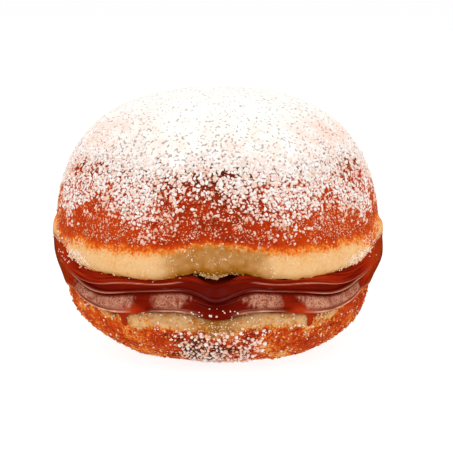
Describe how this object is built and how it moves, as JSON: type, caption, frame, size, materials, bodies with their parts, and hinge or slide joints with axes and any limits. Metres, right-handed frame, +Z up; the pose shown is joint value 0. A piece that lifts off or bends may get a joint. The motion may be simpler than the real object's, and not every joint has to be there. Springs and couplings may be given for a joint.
{
  "type": "jelly filled doughnut",
  "caption": "Round fried doughnut split across its middle, with a thick caramel-coloured jam layer at its side, a pale ring and a heavy dusting of icing sugar; it stands on a small flat spot.",
  "frame": {"origin": "centre of the base, on the surface that the doughnut rests on", "axes": "+Z up through the crown, -Y towards the front, where the hollow over the filling shows, +X to the right seen from the front"},
  "size_m": [0.0915, 0.0908, 0.0703],
  "materials": {
    "bottom_crust": "fried yeast dough: matt golden-brown crust, paler at the cut edge, with clumps of icing sugar at the front",
    "caramel_filling": "thick caramel-coloured jam: glossy, dark red-brown, slightly translucent",
    "top_crust": "fried yeast dough: satin orange-brown crust over a pale cream ring, under white icing sugar that thins out down the side"
  },
  "bodies": {
    "root": {"bottom_half": "bottom_crust", "filling": "caramel_filling", "top_half": "top_crust"}
  },
  "joints": []
}
